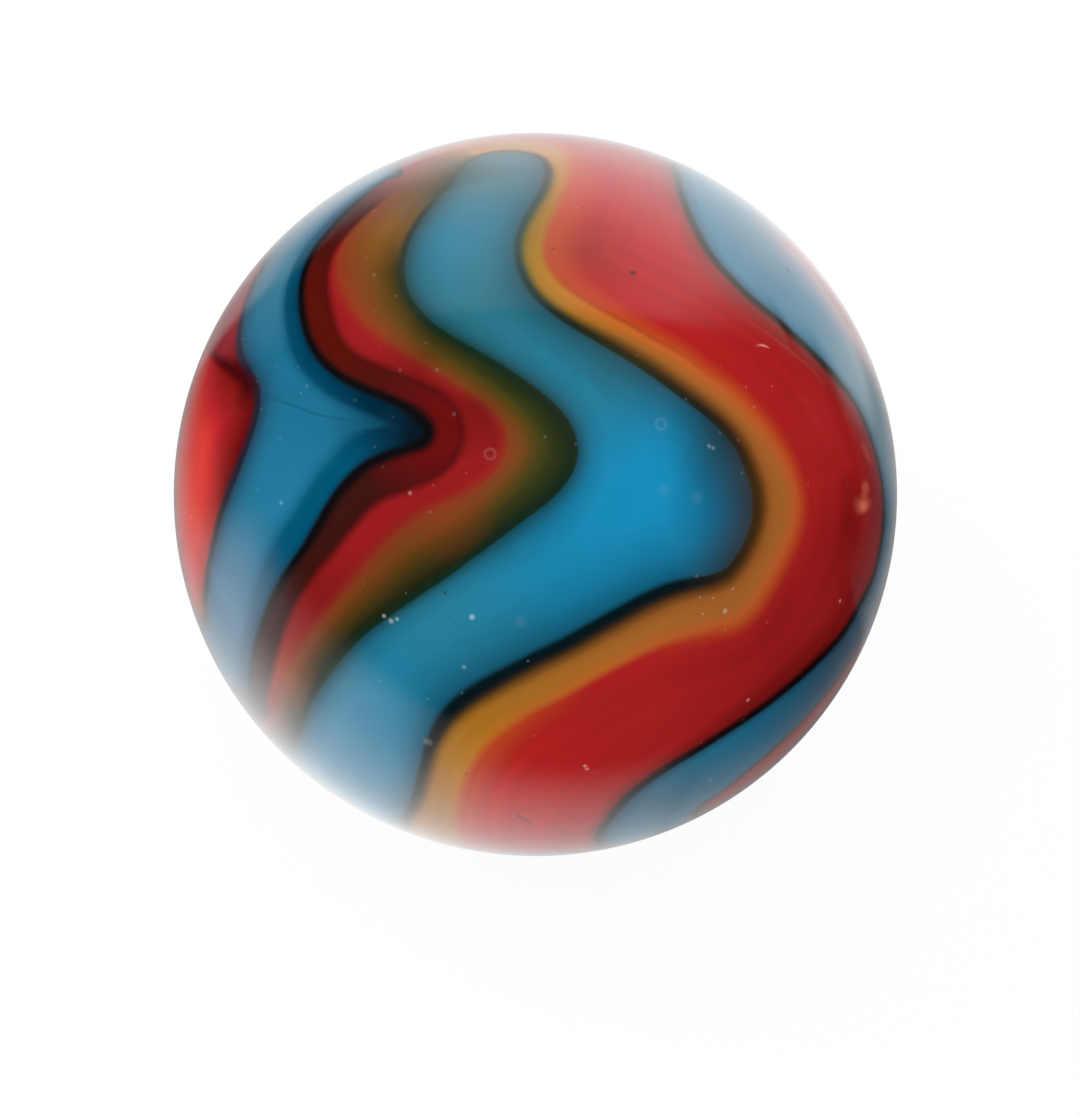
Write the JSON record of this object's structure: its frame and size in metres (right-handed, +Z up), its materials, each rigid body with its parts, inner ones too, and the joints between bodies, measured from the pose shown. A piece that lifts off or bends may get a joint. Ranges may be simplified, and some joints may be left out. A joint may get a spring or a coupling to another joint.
{
  "type": "glass marble",
  "caption": "Solid round ball of opaque swirled glass with a smooth glossy skin: a playing marble that rolls freely or sits in a cup, ring or groove.",
  "frame": {"origin": "the ball's centre", "axes": "+Z up; -Y is the side that the picture shows, seen from above"},
  "size_m": [0.016, 0.016, 0.016],
  "materials": {
    "swirl_glass": "fire-polished, glossy; opaque turquoise glass with red and amber ribbons edged in black"
  },
  "bodies": {
    "root": {"glass_ball": "swirl_glass"}
  },
  "joints": []
}
